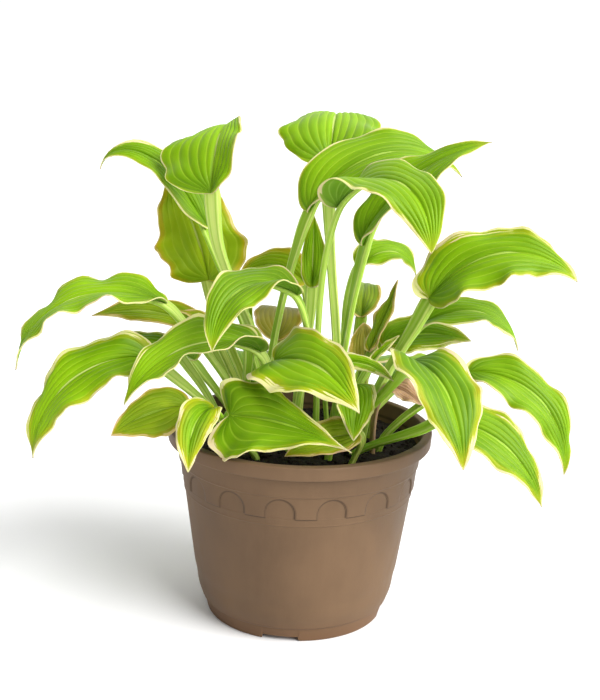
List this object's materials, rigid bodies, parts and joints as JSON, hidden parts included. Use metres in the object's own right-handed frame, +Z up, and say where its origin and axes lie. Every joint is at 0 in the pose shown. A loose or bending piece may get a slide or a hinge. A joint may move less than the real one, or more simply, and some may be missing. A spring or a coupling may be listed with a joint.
{
  "type": "potted hosta plant",
  "caption": "Hosta with arching heart-shaped leaves, green with pale cream margins, growing from dark soil in a brown plastic nursery pot.",
  "frame": {"origin": "centre of the pot's flat underside, on the surface it stands on", "axes": "+Z up along the pot's axis, -Y towards the front, +X to the right seen from the front"},
  "size_m": [0.4062, 0.258, 0.3702],
  "materials": {
    "pot": "moulded brown plastic, satin, with fine scuffs and a little dust",
    "soil": "moist near-black potting soil, crumbly",
    "leaf": "living leaf, satin, bright green with a cream margin and sunken parallel veins",
    "leaf_olive": "older or shaded living leaf, satin, olive green with a dull yellow margin",
    "leaf_dried": "dried leaf, matte, pinkish brown and papery"
  },
  "bodies": {
    "root": {"pot": "pot", "soil": "soil", "leaf_top_left_fan": "leaf", "leaf_top_left_curled": "leaf", "leaf_left_tall": "leaf_olive", "leaf_back_small": "leaf_olive", "leaf_centre_arch": "leaf", "leaf_centre_upright": "leaf", "leaf_top_centre": "leaf", "leaf_top_long": "leaf", "leaf_top_right": "leaf", "leaf_top_drooping": "leaf", "leaf_right_behind": "leaf", "leaf_right_high": "leaf", "leaf_right_middle": "leaf", "leaf_right_inner": "leaf", "leaf_right_hanging": "leaf", "leaf_front_right": "leaf", "leaf_right_low": "leaf", "leaf_front_heart": "leaf", "leaf_front_low": "leaf", "leaf_front_folded": "leaf", "leaf_left_front_arch": "leaf", "leaf_left_low": "leaf_olive", "leaf_left_long": "leaf", "leaf_left_shaded": "leaf", "leaf_left_high": "leaf", "leaf_left_behind": "leaf_olive", "leaf_left_narrow": "leaf_olive", "leaf_front_in_pot": "leaf_olive", "leaf_front_under": "leaf", "leaf_front_little": "leaf", "leaf_dried": "leaf_dried", "leaf_back_right_olive": "leaf_olive", "leaf_right_curled": "leaf_olive", "leaf_back_brown": "leaf_olive", "leaf_back_left_olive": "leaf_olive", "leaf_right_narrow": "leaf", "leaf_young_shoot": "leaf", "leaf_rear_left": "leaf", "leaf_rear_middle": "leaf", "leaf_rear_right": "leaf", "leaf_rear_far_right": "leaf", "leaf_rear_far_left": "leaf"}
  },
  "joints": []
}
